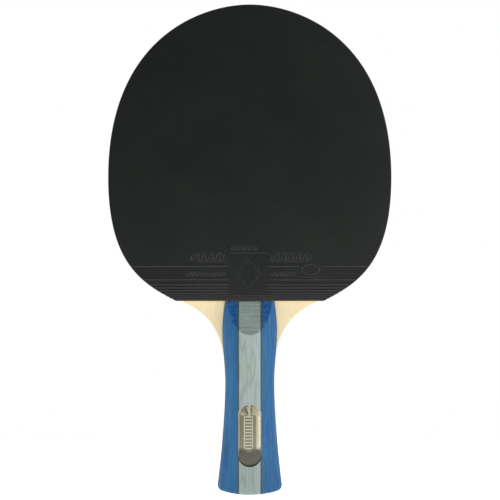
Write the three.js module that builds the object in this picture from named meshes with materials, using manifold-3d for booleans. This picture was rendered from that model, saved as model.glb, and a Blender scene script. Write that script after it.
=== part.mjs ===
// A table tennis paddle: a five-ply wooden blade, a sponge and a pimpled topsheet on each face, and a flared
// handle made of two scales. Each scale is glued up from coloured strips, and the front one carries a badge.
// Millimetres. +Z runs up the handle to the head, -Y is the black front face and X is the width.
// The origin is the middle of the grip, on the blade's mid-plane.

import * as THREE from "three";
import { mergeVertices } from "three/addons/utils/BufferGeometryUtils.js";
import Module from "manifold-3d";

const wasm = await Module();
wasm.setup();

// Blade plies, from the outside in.
const outerPly = 0.6;
const medialPly = 1.4;
const corePly = 2.0;

// Head. Heights are above the straight edge where the rubber ends at the handle.
const headWidth = 150;
const headHeight = 157;
const widestHeight = 65.5;
const topRoundness = 0.36; // how far the top stays level, as a share of the half width
const sideRoundness = 0.795; // how far the upper side stays upright, as a share of the rise above it
const cheekRoundness = 0.71; // the same for the lower side

// Rubber.
const spongeThickness = 2.0;
const topsheetThickness = 1.8; // the sheet and its pips, which point into the sponge
const rubberCornerHalfWidth = 39;
const rubberCornerReach = 19.4;
const rubberCornerAngle = THREE.MathUtils.degToRad(27);

// Wood between the head and the handle.
const neckHalfWidth = 36.5; // where the wood comes out from under the rubber
const neckAngle = THREE.MathUtils.degToRad(21.7);
const neckUpperReach = 19;
const neckLowerReach = 17.6;
const neckMergeDrop = 31; // below this the blade is flush with the scales
const neckMergeReach = 12.1;

// Handle. A drop is a distance below the rubber's straight edge.
const handleLength = 102.5;
const shoulderDrop = 15;
const waistDrop = 44;
const handleWidths = { top: 26.4, shoulder: 29.1, waist: 25.9, butt: 34.1 };
const handleThicknesses = { top: 22.6, shoulder: 22.8, waist: 22.2, butt: 24.2 };
const shoulderPower = 1.5;
const flarePower = 1.6;
const crownPower = 2.1; // 2 is an ellipse, and more is squarer
const bevelLength = 18;
const bevelLip = 0.3; // how far the bevel's thin end stands above the rubber
const rubberToHandleGap = 0.3;
const buttArcRadius = 54;
const buttCornerRadius = 3.2;

// Strips of a scale.
const centreStripWidth = 11.3;
const veneerThickness = 1.0;

// Badge in the front scale.
const badgeWidth = 12.4;
const badgeLength = 33.2;
const badgeToButt = 14.9;
const badgePlateThickness = 0.5;
const badgePocketDepth = 1.5;
const badgeClearance = 0.3;
const lensEdge = 0.5;
const lensDome = 0.9;
const lensShoulder = 2.6;

// How finely curves are divided.
const headSegments = 20;
const neckSegments = 12;
const arcSegments = 6;
const crownSegments = 10;
const handleSteps = 18;
const lensSegments = 4;

// Sizes that follow.
const bladeHalf = outerPly + medialPly + corePly / 2;
const rubberThickness = spongeThickness + topsheetThickness;
const rubberEdgeZ = handleLength / 2;
const buttCentreZ = buttArcRadius - handleLength / 2;
const buttHalfWidth = handleWidths.butt / 2;
const buttCornerX = buttHalfWidth - buttCornerRadius;
const buttAngle = -Math.acos(buttCornerX / (buttArcRadius - buttCornerRadius));
const buttCornerZ = buttCentreZ + (buttArcRadius - buttCornerRadius) * Math.sin(buttAngle);
const flareEndDrop = rubberEdgeZ - buttCornerZ;
const badgeDrop = handleLength - badgeToButt - badgeLength / 2;
const beyond = 2 * handleLength; // how far cutters reach past the handle

// Half the handle's width or thickness at a drop: it swells to the shoulder, narrows to the waist and flares.
function handleHalf(sizes, drop) {
  if (drop < shoulderDrop) {
    const left = 1 - drop / shoulderDrop;
    return (sizes.shoulder - (sizes.shoulder - sizes.top) * left ** shoulderPower) / 2;
  }
  if (drop < waistDrop) {
    const along = THREE.MathUtils.smoothstep(drop, shoulderDrop, waistDrop);
    return THREE.MathUtils.lerp(sizes.shoulder, sizes.waist, along) / 2;
  }
  const flare = (drop - waistDrop) / (flareEndDrop - waistDrop);
  return (sizes.waist + (sizes.butt - sizes.waist) * flare ** flarePower) / 2;
}

// The right half of the head's edge, from its top down to its widest place and on to a given corner.
function headPath(corner, cornerAngle, cornerReach) {
  const half = headWidth / 2;
  const top = rubberEdgeZ + headHeight;
  const widest = rubberEdgeZ + widestHeight;
  const path = new THREE.Path();
  path.moveTo(0, top);
  path.bezierCurveTo(
    topRoundness * half, top,
    half, widest + sideRoundness * (top - widest),
    half, widest,
  );
  path.bezierCurveTo(
    half, widest - cheekRoundness * widestHeight,
    corner.x + cornerReach * Math.cos(cornerAngle), corner.y + cornerReach * Math.sin(cornerAngle),
    corner.x, corner.y,
  );
  return path;
}

// An outline that is the same on both sides, from the points of its right half.
function mirrored(half) {
  const left = half.filter((point) => point.x > 0).map((point) => new THREE.Vector2(-point.x, point.y));
  return new THREE.Shape([...half, ...left.reverse()]);
}

function rubberOutline() {
  const corner = new THREE.Vector2(rubberCornerHalfWidth, rubberEdgeZ);
  return mirrored(headPath(corner, rubberCornerAngle, rubberCornerReach).getPoints(headSegments));
}

// The butt's rounded corner and then its shallow arc to the middle.
function buttPoints() {
  const path = new THREE.Path();
  path.absarc(buttCornerX, buttCornerZ, buttCornerRadius, 0, buttAngle, true);
  path.absarc(0, buttCentreZ, buttArcRadius, buttAngle, -Math.PI / 2, true);
  const points = path.getPoints(arcSegments);
  points.at(-1).x = 0;
  return points;
}

function bladeOutline() {
  const corner = new THREE.Vector2(neckHalfWidth, rubberEdgeZ);
  const head = headPath(corner, neckAngle, neckUpperReach);
  const mergeX = handleHalf(handleWidths, neckMergeDrop);
  const mergeSlope = handleHalf(handleWidths, neckMergeDrop - 1) - mergeX;
  const mergeZ = rubberEdgeZ - neckMergeDrop;
  const neck = new THREE.CubicBezierCurve(
    corner,
    new THREE.Vector2(
      corner.x - neckLowerReach * Math.cos(neckAngle),
      corner.y - neckLowerReach * Math.sin(neckAngle),
    ),
    new THREE.Vector2(mergeX + neckMergeReach * mergeSlope, mergeZ + neckMergeReach),
    new THREE.Vector2(mergeX, mergeZ),
  );
  const side = [];
  for (let step = 1; step < handleSteps; step += 1) {
    const drop = THREE.MathUtils.lerp(neckMergeDrop, flareEndDrop, step / handleSteps);
    side.push(new THREE.Vector2(handleHalf(handleWidths, drop), rubberEdgeZ - drop));
  }
  return mirrored([
    ...head.getPoints(headSegments),
    ...neck.getPoints(neckSegments).slice(1),
    ...side,
    ...buttPoints(),
  ]);
}

function stadium(width, length) {
  const radius = width / 2;
  const reach = length / 2 - radius;
  const middle = rubberEdgeZ - badgeDrop;
  const shape = new THREE.Shape();
  shape.absarc(0, middle + reach, radius, 0, Math.PI, false);
  shape.absarc(0, middle - reach, radius, Math.PI, 2 * Math.PI, false);
  return new THREE.Shape(shape.getPoints(arcSegments));
}

// An outline in X and Z, filled from one depth along Y to another. Both depths are set exactly.
function plate(outline, nearY, farY) {
  const geometry = new THREE.ExtrudeGeometry(outline, { depth: 1, bevelEnabled: false });
  const position = geometry.getAttribute("position");
  for (let i = 0; i < position.count; i += 1) {
    const y = position.getZ(i) > 0 ? nearY : farY;
    position.setXYZ(i, position.getX(i), y, position.getY(i));
  }
  geometry.computeVertexNormals();
  return geometry;
}

// A profile in Y and Z, carried right across the handle along X.
function bar(profile, halfWidth) {
  const geometry = new THREE.ExtrudeGeometry(profile, { depth: 2 * halfWidth, bevelEnabled: false });
  geometry.translate(0, 0, -halfWidth);
  const yAxis = new THREE.Vector3(0, 1, 0);
  const zAxis = new THREE.Vector3(0, 0, 1);
  const xAxis = new THREE.Vector3(1, 0, 0);
  return geometry.applyMatrix4(new THREE.Matrix4().makeBasis(yAxis, zAxis, xAxis));
}

function solid(geometry) {
  const bare = new THREE.BufferGeometry().setAttribute("position", geometry.getAttribute("position"));
  if (geometry.index) bare.setIndex(geometry.index);
  const merged = mergeVertices(bare);
  return new wasm.Manifold(new wasm.Mesh({
    numProp: 3,
    vertProperties: merged.getAttribute("position").array,
    triVerts: new Uint32Array(merged.index.array),
  }));
}

function geometryOf(manifold) {
  const mesh = manifold.getMesh();
  const geometry = new THREE.BufferGeometry();
  geometry.setAttribute("position", new THREE.BufferAttribute(mesh.vertProperties, 3));
  geometry.setIndex(new THREE.BufferAttribute(mesh.triVerts, 1));
  geometry.computeVertexNormals();
  return geometry;
}

// Half a superellipse of unit half width and height, standing on its flat side.
function crownSection() {
  const points = [];
  for (let step = 0; step <= 2 * crownSegments; step += 1) {
    const angle = (Math.PI / 2) * (step / crownSegments);
    const across = Math.abs(Math.cos(angle)) ** (2 / crownPower);
    const up = Math.abs(Math.sin(angle)) ** (2 / crownPower);
    points.push(new THREE.Vector2(step < crownSegments ? across : -across, up));
  }
  return new THREE.Shape(points);
}

// The crowned block of one scale, standing on the blade's +Y face and a little longer than the handle.
function crownedBlock() {
  const geometry = new THREE.ExtrudeGeometry(crownSection(), {
    depth: handleLength,
    steps: handleSteps,
    bevelEnabled: false,
  });
  const position = geometry.getAttribute("position");
  for (let i = 0; i < position.count; i += 1) {
    const drop = rubberToHandleGap + position.getZ(i);
    const halfWidth = handleHalf(handleWidths, drop);
    const crown = handleHalf(handleThicknesses, drop) - bladeHalf;
    const y = bladeHalf + crown * position.getY(i);
    position.setXYZ(i, -halfWidth * position.getX(i), y, rubberEdgeZ - drop);
  }
  return solid(geometry);
}

// The wedge that leaves the slanted bevel, which thins the scale down to the rubber.
function bevelCutter() {
  const thinEnd = new THREE.Vector2(bladeHalf + rubberThickness + bevelLip, rubberEdgeZ);
  const thickEnd = new THREE.Vector2(
    handleHalf(handleThicknesses, bevelLength),
    rubberEdgeZ - bevelLength,
  );
  const slope = thickEnd.clone().sub(thinEnd);
  const low = thinEnd.clone().sub(slope);
  const high = thickEnd.clone().add(slope);
  const profile = new THREE.Shape([low, high, new THREE.Vector2(high.x, low.y)]);
  return solid(bar(profile, beyond));
}

// Keeps what lies above the butt's curved end.
function buttKeeper() {
  const half = [
    new THREE.Vector2(beyond, beyond),
    new THREE.Vector2(beyond, buttCornerZ),
    ...buttPoints(),
  ];
  return solid(plate(mirrored(half), -beyond, beyond));
}

// The part of a scale between two places across the handle.
function stripBetween(scale, fromX, toX) {
  const slab = new THREE.Shape([
    new THREE.Vector2(fromX, -beyond),
    new THREE.Vector2(toX, -beyond),
    new THREE.Vector2(toX, beyond),
    new THREE.Vector2(fromX, beyond),
  ]);
  return geometryOf(scale.intersect(solid(plate(slab, -beyond, beyond))));
}

function finish(color, roughness, metalness = 0) {
  return new THREE.MeshStandardMaterial({ color, roughness, metalness });
}

function paleWood() {
  return finish(0xefdeb4, 0.6);
}

function blueWood() {
  return finish(0x3c6b9b, 0.5);
}

function greyWood() {
  return finish(0x9baaa6, 0.5);
}

function blackVeneer() {
  return finish(0x35494c, 0.5);
}

function blackRubber() {
  return finish(0x23221f, 0.55);
}

function redRubber() {
  return finish(0xa8141c, 0.55);
}

function creamSponge() {
  return finish(0xe8c890, 0.9);
}

function champagneMetal() {
  return finish(0x88856f, 0.35, 0.9);
}

function clearPlastic() {
  const material = finish(0xd8d7cb, 0.1);
  material.transparent = true;
  material.opacity = 0.35;
  return material;
}

function piece(name, geometry, material) {
  const mesh = new THREE.Mesh(geometry, material);
  mesh.name = name;
  return mesh;
}

function blade() {
  const outline = bladeOutline();
  const plies = [
    ["front_outer_ply", outerPly],
    ["front_medial_ply", medialPly],
    ["core_ply", corePly],
    ["back_medial_ply", medialPly],
    ["back_outer_ply", outerPly],
  ];
  const group = new THREE.Group();
  let nearY = -bladeHalf;
  for (const [name, thickness] of plies) {
    group.add(piece(name, plate(outline, nearY, nearY + thickness), paleWood()));
    nearY += thickness;
  }
  return group;
}

// Sponge and topsheet, on the blade's +Y face.
function rubber(face, topsheetMaterial) {
  const outline = rubberOutline();
  const spongeY = bladeHalf + spongeThickness;
  const group = new THREE.Group();
  group.add(piece(`${face}_sponge`, plate(outline, bladeHalf, spongeY), creamSponge()));
  group.add(piece(
    `${face}_topsheet`,
    plate(outline, spongeY, bladeHalf + rubberThickness),
    topsheetMaterial,
  ));
  return group;
}

// A scale on the blade's +Y face, in strips named as seen by someone who faces it.
function scale(face, pocket) {
  let block = crownedBlock().subtract(bevelCutter()).intersect(buttKeeper());
  if (pocket) block = block.subtract(pocket);
  const centre = centreStripWidth / 2;
  const veneer = centre + veneerThickness;
  const group = new THREE.Group();
  group.add(piece(`${face}_left_side_strip`, stripBetween(block, veneer, beyond), blueWood()));
  group.add(piece(`${face}_left_veneer`, stripBetween(block, centre, veneer), blackVeneer()));
  group.add(piece(`${face}_centre_strip`, stripBetween(block, -centre, centre), greyWood()));
  group.add(piece(`${face}_right_veneer`, stripBetween(block, -veneer, -centre), blackVeneer()));
  group.add(piece(`${face}_right_side_strip`, stripBetween(block, -beyond, -veneer), blueWood()));
  return group;
}

const pocketFloorY = handleHalf(handleThicknesses, badgeDrop) - badgePocketDepth;

function badgePocket() {
  const outline = stadium(badgeWidth + 2 * badgeClearance, badgeLength + 2 * badgeClearance);
  return solid(plate(outline, pocketFloorY, beyond));
}

// A metal plate on the pocket's floor under a clear domed lens.
function badge() {
  const outline = stadium(badgeWidth, badgeLength);
  const lensY = pocketFloorY + badgePlateThickness;
  const lensTopY = lensY + lensEdge + lensDome;
  const dome = new THREE.ExtrudeGeometry(outline, {
    depth: lensEdge,
    bevelThickness: lensDome,
    bevelSize: lensShoulder,
    bevelOffset: -lensShoulder,
    bevelSegments: lensSegments,
  });
  dome.rotateX(Math.PI / 2);
  dome.translate(0, lensY + lensEdge, 0);
  const lens = solid(dome).intersect(solid(plate(outline, lensY, lensTopY + 1)));
  const group = new THREE.Group();
  group.add(piece("badge_plate", plate(outline, pocketFloorY, lensY), champagneMetal()));
  group.add(piece("badge_lens", geometryOf(lens), clearPlastic()));
  return group;
}

const front = new THREE.Group();
front.rotation.z = Math.PI;
front.add(rubber("front", blackRubber()), scale("front", badgePocket()), badge());

const back = new THREE.Group();
back.add(rubber("back", redRubber()), scale("back", null));

const paddle = new THREE.Group();
paddle.add(blade(), front, back);

export default paddle;
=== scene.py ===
# Looks for a table tennis paddle: blade plies, rubbers, striped handle scales and a badge.
# Shapes are worked out in millimetres. X is the width, Z runs up to the head and -Y is the black front.

import math

import bmesh
import bpy
import numpy as np
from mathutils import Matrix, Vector


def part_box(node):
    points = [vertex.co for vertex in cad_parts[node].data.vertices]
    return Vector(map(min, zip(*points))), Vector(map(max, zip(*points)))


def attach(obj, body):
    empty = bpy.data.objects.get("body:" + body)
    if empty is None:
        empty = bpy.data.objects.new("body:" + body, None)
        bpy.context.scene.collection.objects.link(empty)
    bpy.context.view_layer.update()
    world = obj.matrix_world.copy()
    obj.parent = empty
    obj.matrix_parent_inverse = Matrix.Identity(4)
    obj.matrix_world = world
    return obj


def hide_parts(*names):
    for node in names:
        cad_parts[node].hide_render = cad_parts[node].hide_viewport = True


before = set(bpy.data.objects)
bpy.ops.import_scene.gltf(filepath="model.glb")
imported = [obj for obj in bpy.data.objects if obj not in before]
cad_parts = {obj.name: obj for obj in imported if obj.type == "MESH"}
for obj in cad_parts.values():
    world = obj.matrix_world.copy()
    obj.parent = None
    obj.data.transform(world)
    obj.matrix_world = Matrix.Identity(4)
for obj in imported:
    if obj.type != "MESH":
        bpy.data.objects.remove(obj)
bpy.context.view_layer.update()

mm = 0.001
mergeDistance = 0.002  # millimetres: points nearer than this become one
sliver = 0.001  # millimetres: narrower faces are dissolved
sharpAngle = math.radians(32)  # a steeper step between two faces is shaded as an edge
print("frame loaded with", len(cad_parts), "nodes")


def boxOf(node):
    # a node's lowest and highest corners in millimetres
    low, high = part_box(node)
    return np.array(low) / mm, np.array(high) / mm


sheetLow, sheetHigh = boxOf("front_topsheet")
edgeZ = sheetLow[2]  # the straight edge where the rubber ends
topZ = sheetHigh[2]
headHalf = sheetHigh[0]
buttZ = boxOf("core_ply")[0][2]
bladeHalf = boxOf("back_outer_ply")[1][1]
spongeY = boxOf("back_sponge")[1][1]
rubberY = boxOf("back_topsheet")[1][1]
stripHalf = boxOf("front_centre_strip")[1][0]
veneerHalf = -boxOf("front_left_veneer")[0][0]


def gridFaces(rows, columns):
    # quads between neighbouring rows and columns of a grid of points numbered row by row
    index = np.arange(rows * columns).reshape(rows, columns)
    corners = index[:-1, :-1], index[:-1, 1:], index[1:, 1:], index[1:, :-1]
    return np.stack([c.ravel() for c in corners], axis=1)


def ringFaces(rings, around):
    # quads between neighbouring rings of a tube whose points are numbered ring by ring
    index = np.arange(rings * around).reshape(rings, around)
    ahead = np.roll(index, -1, axis=1)
    corners = index[:-1], ahead[:-1], ahead[1:], index[1:]
    return np.stack([c.ravel() for c in corners], axis=1)


def joined(*parts):
    # several (points, list of face arrays) as one, with the later parts' corner numbers moved up
    points, faces, start = [], [], 0
    for partPoints, partFaces in parts:
        points.append(partPoints)
        faces += [f + start for f in partFaces]
        start += len(partPoints)
    return np.vstack(points), faces


def linked(name, data):
    # an object in the scene that holds this mesh, lamp or camera
    thing = bpy.data.objects.new(name, data)
    bpy.context.scene.collection.objects.link(thing)
    return thing


def makePiece(name, shape, finish, node, shares=None):
    # shape is (points in millimetres, list of face arrays), where each row of a face array holds one face's
    # corners; node is what the piece stands for, and shares says how much each point belongs to the bevel
    points, faces = shape
    mesh = bpy.data.meshes.new(name)
    corners = np.concatenate([f.ravel() for f in faces])
    totals = np.concatenate([np.full(len(f), f.shape[1]) for f in faces])
    starts = np.concatenate([[0], np.cumsum(totals)[:-1]])
    mesh.vertices.add(len(points))
    mesh.vertices.foreach_set("co", (points * mm).astype(np.float32).ravel())
    mesh.loops.add(len(corners))
    mesh.loops.foreach_set("vertex_index", corners.astype(np.int32))
    mesh.polygons.add(len(totals))
    mesh.polygons.foreach_set("loop_start", starts.astype(np.int32))
    mesh.update(calc_edges=True)
    mesh.validate()
    if shares is not None:
        held = mesh.attributes.new("bevelShare", "FLOAT", "POINT")
        held.data.foreach_set("value", shares.astype(np.float32))
    work = bmesh.new()
    work.from_mesh(mesh)
    bmesh.ops.remove_doubles(work, verts=work.verts, dist=mergeDistance * mm)
    bmesh.ops.dissolve_degenerate(work, edges=work.edges, dist=sliver * mm)
    bmesh.ops.recalc_face_normals(work, faces=work.faces)
    work.to_mesh(mesh)
    work.free()
    mesh.polygons.foreach_set("use_smooth", np.ones(len(mesh.polygons), bool))
    mesh.set_sharp_from_angle(angle=sharpAngle)
    mesh.materials.append(finish)
    piece = linked(name, mesh)
    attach(piece, "root")
    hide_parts(node)
    print("  ", name, len(mesh.polygons), "faces")


def bezier(corners, count):
    # a cubic curve: its four corners weighted by (1-t)^3, 3(1-t)^2 t, 3(1-t) t^2 and t^3
    t = np.linspace(0, 1, count)[:, None]
    a, b, c, d = np.array(corners, float)
    return (1 - t) ** 3 * a + 3 * (1 - t) ** 2 * t * b + 3 * (1 - t) * t**2 * c + t**3 * d


def arc(centreX, centreZ, radius, fromAngle, toAngle, count):
    # a circle's points between two angles
    angle = np.linspace(fromAngle, toAngle, count)
    return np.stack([centreX + radius * np.cos(angle), centreZ + radius * np.sin(angle)], axis=1)


head = {
    "widest": 65.5,  # height of the widest place above the rubber's edge
    "topRoundness": 0.36,
    "sideRoundness": 0.795,
    "cheekRoundness": 0.71,
    "points": 130,
}

neck = {
    "halfWidth": 36.5,
    "angle": math.radians(21.7),
    "upperReach": 19.0,
    "lowerReach": 17.6,
    "mergeDrop": 31.0,
    "mergeReach": 12.1,
    "points": 60,
}

handle = {
    "shoulderDrop": 15.0,
    "waistDrop": 44.0,
    "widths": (26.4, 29.1, 25.9, 34.1),  # top, shoulder, waist, butt
    "thicknesses": (22.6, 22.8, 22.2, 24.2),
    "shoulderPower": 1.5,
    "flarePower": 1.6,
    "crownPower": 2.1,
    "bevelLength": 18.0,
    "bevelLip": 0.3,
    "bevelSoftness": 0.22,
    "bevelFade": 0.35,
    "topGap": 0.3,
    "featherEdge": 0.01,  # what is left of a scale's thickness at its sides
    "buttArcRadius": 54.0,
    "buttCornerRadius": 3.2,
    "buttEdgeRadius": 1.5,
}

buttHalf = handle["widths"][3] / 2
buttCentreZ = buttZ + handle["buttArcRadius"]
cornerX = buttHalf - handle["buttCornerRadius"]
cornerReach = handle["buttArcRadius"] - handle["buttCornerRadius"]
cornerAngle = -math.acos(cornerX / cornerReach)
cornerZ = buttCentreZ + cornerReach * math.sin(cornerAngle)
flareEnd = edgeZ - cornerZ


def handleHalf(sizes, drop):
    # half a width at a drop below the rubber: rises to the shoulder as 1 - left^p, falls to the waist as a
    # smoothstep, and flares to the butt as along^q
    top, shoulder, waist, butt = sizes
    shoulderDrop, waistDrop = handle["shoulderDrop"], handle["waistDrop"]
    left = np.clip(1 - drop / shoulderDrop, 0, 1)
    swell = shoulder - (shoulder - top) * left ** handle["shoulderPower"]
    along = np.clip((drop - shoulderDrop) / (waistDrop - shoulderDrop), 0, 1)
    fall = shoulder + (waist - shoulder) * along**2 * (3 - 2 * along)
    flare = np.clip((drop - waistDrop) / (flareEnd - waistDrop), 0, None)
    spread = waist + (butt - waist) * flare ** handle["flarePower"]
    return np.where(drop < shoulderDrop, swell, np.where(drop < waistDrop, fall, spread)) / 2


def headCurve(cornerHalf, angle, reach):
    # right half of the head: one curve from the top to the widest place, one from there to the corner
    widest = edgeZ + head["widest"]
    side = widest + head["sideRoundness"] * (topZ - widest)
    upper = [(0, topZ), (head["topRoundness"] * headHalf, topZ), (headHalf, side), (headHalf, widest)]
    lower = [
        (headHalf, widest),
        (headHalf, widest - head["cheekRoundness"] * head["widest"]),
        (cornerHalf + reach * math.cos(angle), edgeZ + reach * math.sin(angle)),
        (cornerHalf, edgeZ),
    ]
    return np.vstack([bezier(upper, head["points"]), bezier(lower, head["points"])[1:]])


def buttCurve():
    # the butt's rounded corner, then its shallow arc to the middle
    corner = arc(cornerX, cornerZ, handle["buttCornerRadius"], 0, cornerAngle, 16)
    shallow = arc(0, buttCentreZ, handle["buttArcRadius"], cornerAngle, -math.pi / 2, 40)
    return np.vstack([corner, shallow[1:]])


def bladeHalfOutline():
    # right half of the blade: the head, a hollow neck curve to the handle's side, that side and the butt
    mergeX = float(handleHalf(handle["widths"], neck["mergeDrop"]))
    mergeSlope = float(handleHalf(handle["widths"], neck["mergeDrop"] - 1)) - mergeX
    mergeZ = edgeZ - neck["mergeDrop"]
    cosine, sine = math.cos(neck["angle"]), math.sin(neck["angle"])
    neckCurve = bezier(
        [
            (neck["halfWidth"], edgeZ),
            (neck["halfWidth"] - neck["lowerReach"] * cosine, edgeZ - neck["lowerReach"] * sine),
            (mergeX + neck["mergeReach"] * mergeSlope, mergeZ + neck["mergeReach"]),
            (mergeX, mergeZ),
        ],
        neck["points"],
    )
    drops = np.linspace(neck["mergeDrop"], flareEnd, 90)[1:-1]
    side = np.stack([handleHalf(handle["widths"], drops), edgeZ - drops], axis=1)
    top = headCurve(neck["halfWidth"], neck["angle"], neck["upperReach"])
    return np.vstack([top, neckCurve[1:], side, buttCurve()])


def mirrored(half):
    # the right half, then its mirror image back up the left
    inner = half[(half[:, 0] > 1e-6)]
    return np.vstack([half, inner[::-1] * (-1, 1)])


faceMargin = 0.3  # width of the level ring inside a plate's rim


def outward(outline):
    # normals of a clockwise outline, lengthened at corners so that an offset keeps its edges parallel
    ahead = np.roll(outline, -1, axis=0) - outline
    ahead /= np.linalg.norm(ahead, axis=1)[:, None]
    after = np.stack([-ahead[:, 1], ahead[:, 0]], axis=1)
    before = np.roll(after, 1, axis=0)
    return (before + after) / (1 + (before * after).sum(axis=1))[:, None]


def plateShape(outline, profile):
    # a profile of (inset, depth) pairs carried round the outline, with a flat face on each end of it; the
    # level ring inside each face keeps the rounded rim from tilting the whole face's shading
    normals = outward(outline)
    ends = [(profile[place][0] + faceMargin, profile[place][1]) for place in (0, -1)]
    profile = [ends[0], *profile, ends[1]]
    rings = []
    for inset, depth in profile:
        flat = outline - normals * np.reshape(inset, (-1, 1))
        rings.append(np.stack([flat[:, 0], np.full(len(flat), depth), flat[:, 1]], axis=1))
    around = len(outline)
    last = (len(profile) - 1) * around
    caps = [np.arange(around)[None, :], np.arange(last, last + around)[None, :]]
    return np.vstack(rings), [ringFaces(len(profile), around), *caps]


def roundedEdge(depth, inwards, radius, count=4):
    # a quarter circle of (inset, depth) pairs from the flat face's rim to the wall
    angle = np.linspace(0, math.pi / 2, count)
    return [(radius * (1 - math.sin(a)), depth + inwards * radius * (1 - math.cos(a))) for a in angle]


def colour(red, green, blue):
    # a colour from 0 to 255 a channel, in linear light
    values = np.array([red, green, blue]) / 255
    linear = np.where(values <= 0.04045, values / 12.92, ((values + 0.055) / 1.055) ** 2.4)
    return (*linear.tolist(), 1.0)


def operator(kind, swapped=False):
    # a method that adds one kind of Math node; the reflected form takes its two numbers the other way round
    if swapped:
        return lambda value, other: value.maths(kind, other, value)
    return lambda value, other: value.maths(kind, value, other)


class Value:
    # one output socket; sums, differences, products and powers of these add Math nodes
    def __init__(self, finish, socket):
        self.finish = finish
        self.socket = socket

    def maths(self, operation, *numbers):
        # a Math node on these numbers
        inputs = {place: number for place, number in enumerate(numbers)}
        return self.finish.add("Math", {"operation": operation}, inputs)

    __add__, __radd__ = operator("ADD"), operator("ADD", swapped=True)
    __sub__, __rsub__ = operator("SUBTRACT"), operator("SUBTRACT", swapped=True)
    __mul__, __rmul__ = operator("MULTIPLY"), operator("MULTIPLY", swapped=True)
    __pow__ = operator("POWER")

    def sine(self):
        # the sine of an angle in radians
        return self.maths("SINE", self)

    def between(self, low, high):
        # 0 below low, 1 above high and smooth between
        limits = {"Value": self, "From Min": low, "From Max": high}
        return self.finish.add("MapRange", {"interpolation_type": "SMOOTHSTEP"}, limits)

    def narrow(self, inner, outer):
        # 1 where the square is below inner, 0 where it is above outer and smooth between
        return 1 - (self * self).between(inner, outer)


class NodeTree:
    # a node tree, and the one method that adds its nodes
    def __init__(self, tree):
        self.tree = tree
        self.tree.nodes.clear()

    def add(self, kind, settings=None, inputs=None, outputs=0):
        # a node with its settings; what it is given is linked if it is a socket and set if it is a constant
        node = self.tree.nodes.new("ShaderNode" + kind)
        for name, setting in (settings or {}).items():
            setattr(node, name, setting)
        for name, given in (inputs or {}).items():
            if isinstance(given, Value):
                self.tree.links.new(given.socket, node.inputs[name])
            else:
                node.inputs[name].default_value = given
        if outputs is None:
            return None
        if isinstance(outputs, tuple):
            return [Value(self, node.outputs[name]) for name in outputs]
        return Value(self, node.outputs[outputs])


class Finish(NodeTree):
    # one material, in millimetres of the object's own place
    def __init__(self, name):
        self.material = bpy.data.materials.new(name)
        self.material.use_nodes = True
        super().__init__(self.material.node_tree)
        place = self.add("TexCoord", outputs="Object")
        self.place = self.add("VectorMath", {"operation": "SCALE"}, {0: place, "Scale": 1 / mm})

    def noise(self, scale, shift=(0, 0, 0), detail=2.0, roughness=0.5):
        # clouds from 0 to 1 at the place in millimetres, times a scale for each axis, plus a shift
        moved = {"Vector": self.place, "Scale": scale, "Location": shift}
        vector = self.add("Mapping", {"vector_type": "POINT"}, moved)
        clouds = {"Vector": vector, "Scale": 1.0, "Detail": detail, "Roughness": roughness}
        return self.add("TexNoise", None, clouds)

    def mix(self, share, first, second):
        # a share of the second colour over the first; each is a socket or three numbers from 0 to 255
        first, second = (c if isinstance(c, Value) else colour(*c) for c in (first, second))
        settings = {"data_type": "RGBA", "blend_type": "MIX"}
        return self.add("Mix", settings, {0: share, 6: first, 7: second}, outputs=2)

    def layered(self, look, tone, shares):
        # colours of a look laid over a tone in turn, each by its share, up to the most that the look gives
        for part, share in shares.items():
            hue, most = look[part]
            tone = self.mix(share * most, tone, hue)
        return tone

    def bump(self, height, distance):
        # the surface's normal, tilted as if a height from 0 to 1 stood for so many millimetres
        return self.add("Bump", None, {"Height": height, "Distance": distance * mm})

    def surface(self, tone, roughness, shine, others):
        # an opaque surface, with anything else that its shader's sockets are given
        inputs = {"Base Color": tone, "Roughness": roughness, "Specular IOR Level": shine, **others}
        return self.ended(self.add("BsdfPrincipled", None, inputs))

    def ended(self, shader):
        # joins a shader to the output
        self.add("OutputMaterial", None, {"Surface": shader}, outputs=None)
        return self.material


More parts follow.
